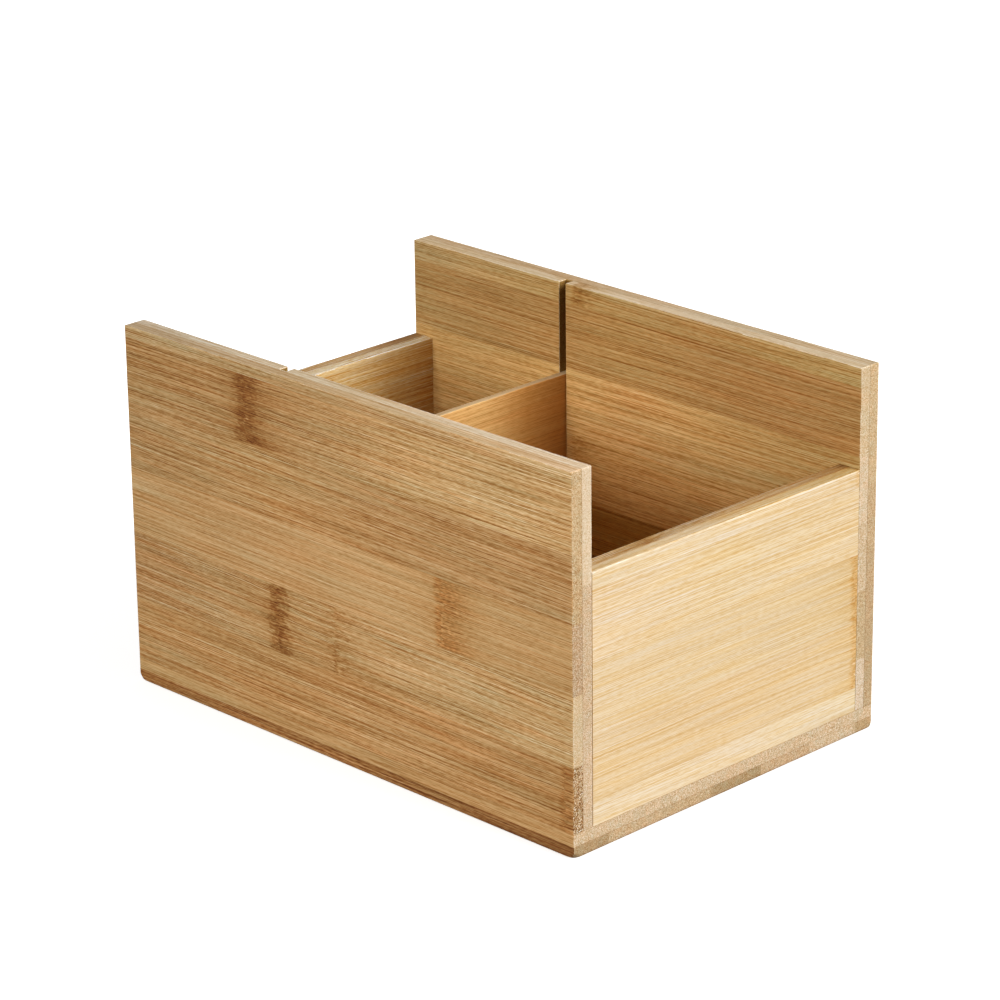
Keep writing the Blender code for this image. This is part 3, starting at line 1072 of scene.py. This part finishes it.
# base
low_end = [(189, 158, 115), (211, 180, 138), (210, 179, 136), (186, 156, 112),
           (212, 178, 136), (222, 194, 156), (200, 168, 123)]
looks["wood_base_lower_ply"] = {
    "contrast": (0.85, 0.20), "end_contrast": (0.72, 0.52), "edge_contrast": 1.6,
    "strips": [{
        "seed": rng.random(),
        "face": varied(SIDE_FACE * 3, 0.08),
        "edge": tones([(151, 105, 55), (163, 116, 66), (153, 106, 57),
                       (138, 92, 47)], E_LEFT),
        "end": tones([low_end[i]], E_FRONT),
    } for i in range(7)]}
b = boards["wood_base_upper_ply"][0]
looks["wood_base_upper_ply"] = plain_look(
    b, INNER_FACE, tones([(187, 149, 98), (192, 154, 104), (188, 147, 96),
                          (192, 154, 104)], E_LEFT),
    tones([(222, 194, 156)], E_FRONT), contrast=(0.85, 0.18),
    end_contrast=(0.66, 0.45), amount=0.05, knots=0.35)

# divider: warmer than the rest, with painted shade and painted warm bounce light from
# inside the box; its faces turn browner towards the +Y end by the right-hand side panel
b = divider
looks["wood_divider"] = plain_look(
    b, tones([(191, 141, 76)], E_LEFT), tones([(212, 182, 140)], E_TOP),
    END_GRAIN, contrast=(0.38, 0.08), amount=0.03, knots=0.0)
DIVIDER_FACE_WITH_PAINTED_SHADE = tones([(195, 148, 85), (195, 148, 85), (197, 151, 87),
                      (199, 154, 93), (202, 159, 98), (185, 132, 68),
                      (185, 132, 67)], E_LEFT)
for strip in looks["wood_divider"]["strips"]:
    strip["face"] = DIVIDER_FACE_WITH_PAINTED_SHADE

SLOT_OF = (("side", "bamboo_side_panel"), ("end", "bamboo_end_panel"),
           ("base", "bamboo_base_board"), ("divider", "bamboo_divider"))
for key, (board, node) in boards.items():
    obj = board.obj
    smooth_with_flat_faces(obj)
    for a in list(obj.data.attributes):
        if a.name in ("bevel_weight_edge",):
            obj.data.attributes.remove(a)
    write_attributes(obj, board, looks[key])
    slot = next(s for word, s in SLOT_OF if f"_{word}" in key)
    obj.data.materials.clear()
    obj.data.materials.append(MATERIALS[slot])
    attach(obj, "divider" if "divider" in key else "box")
    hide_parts(node)


class Peg:
    """What write_attributes needs to know of a dowel."""

    def __init__(self, obj, axis):
        co = np.array([v.co for v in obj.data.vertices]) / MM
        self.low, self.high = list(co.min(0)), list(co.max(0))
        self.g = axis
        self.w, self.t = (0, 1) if axis == 2 else (0, 2)
        self.glued, self.removed = set(), ()
        self.edge_width = 0.4
        self.edges = [self.low[self.w] - 5, self.high[self.w] + 5]

    def strip_of(self, w):
        return 0


PEG_TONE = tones([(214, 180, 132)], E_FRONT)
for name, start, axis, length, node in dowels:
    obj = fluted_dowel("peg_" + name, start, axis, length)
    look = {"contrast": (0.8, 0.2), "end_contrast": (0.5, 0.4),
            "strips": [{"seed": rng.random(), "face": varied(PEG_TONE, 0.05),
                        "edge": varied(PEG_TONE, 0.05),
                        "end": varied(PEG_TONE, 0.05)}]}
    write_attributes(obj, Peg(obj, axis), look)
    obj.data.materials.append(MATERIALS["dowel_bamboo"])
    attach(obj, "box")
    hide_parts(node)

for obj in list(bores.objects):
    mesh = obj.data
    bpy.data.objects.remove(obj)
    bpy.data.meshes.remove(mesh)
bpy.data.collections.remove(bores)
bpy.data.collections.remove(tools)

# -------------------------------------------------------------------- stage
floor_mesh = bpy.data.meshes.new("floor")
floor_mesh.from_pydata([(-6, -6, -0.0002), (6, -6, -0.0002), (6, 6, -0.0002),
                        (-6, 6, -0.0002)], [], [(0, 1, 2, 3)])
floor = bpy.data.objects.new("floor", floor_mesh)
bpy.context.scene.collection.objects.link(floor)
floor_material = bpy.data.materials.new("pale_floor")
floor_material.use_nodes = True
floor_shader = floor_material.node_tree.nodes["Principled BSDF"]
floor_shader.inputs["Base Color"].default_value = (0.93, 0.93, 0.925, 1.0)
floor_shader.inputs["Roughness"].default_value = 0.9
floor_shader.inputs["Specular IOR Level"].default_value = 0.0
floor_shader.inputs["Emission Color"].default_value = (1.0, 1.0, 1.0, 1.0)
floor_shader.inputs["Emission Strength"].default_value = 0.56
floor.visible_diffuse = False
floor.visible_glossy = False
floor_mesh.materials.append(floor_material)
floor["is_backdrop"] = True

world = bpy.data.worlds.new("studio")
world.use_nodes = True
world.node_tree.nodes["Background"].inputs["Color"].default_value = (1, 1, 1, 1)
world.node_tree.nodes["Background"].inputs["Strength"].default_value = AMBIENT
bpy.context.scene.world = world


def distant_softbox(name, direction, angle, level):
    """A soft light from far away: level 1 turns a white surface facing it white."""
    data = bpy.data.lights.new(name, "SUN")
    data.energy = level * math.pi
    data.angle = math.radians(angle)
    obj = bpy.data.objects.new(name, data)
    obj.rotation_euler = Vector(direction).to_track_quat("Z", "Y").to_euler()
    bpy.context.scene.collection.objects.link(obj)
    return obj


distant_softbox("softbox_left", (0.02, -0.90, 0.42), 18.0, 0.68)
distant_softbox("softbox_right", (0.80, 0.32, 0.48), 36.0, 1.18)

# ------------------------------------------------------------------- camera
AZIMUTH, ELEVATION, ROLL = (math.radians(v) for v in (45.40, 20.5287, -0.6981))
AIM = Vector((0.00146, 0.0, 0.085084))
back = Vector((math.sin(AZIMUTH) * math.cos(ELEVATION),
               -math.cos(AZIMUTH) * math.cos(ELEVATION), math.sin(ELEVATION)))
right = Vector((0, 0, 1)).cross(back).normalized()
up = back.cross(right)
tilted_right = right * math.cos(ROLL) + up * math.sin(ROLL)
tilted_up = up * math.cos(ROLL) - right * math.sin(ROLL)
camera_data = bpy.data.cameras.new("camera")
camera_data.lens = 146.90
camera_data.sensor_width = 36.0
camera_data.clip_start = 0.05
camera_data.clip_end = 40.0
camera = bpy.data.objects.new("camera", camera_data)
place = Matrix((tilted_right, tilted_up, back)).transposed().to_4x4()
place.translation = AIM + back * 1.563804
camera.matrix_world = place
bpy.context.scene.collection.objects.link(camera)
bpy.context.scene.camera = camera

bpy.context.scene.view_settings.view_transform = "Standard"
bpy.context.scene.view_settings.look = "None"

# -------------------------------------------------------------------- finish
bpy.context.view_layer.update()
bounds_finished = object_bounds()


def plain(value):
    if isinstance(value, dict):
        return {str(k): plain(v) for k, v in value.items()}
    if hasattr(value, "__len__") and not isinstance(value, str):
        return [plain(v) for v in value]
    return value if isinstance(value, (int, str, bool)) or value is None \
        else float(value)


({"after_load": plain(bounds_loaded),
           "before_finish": plain(bounds_finished)})
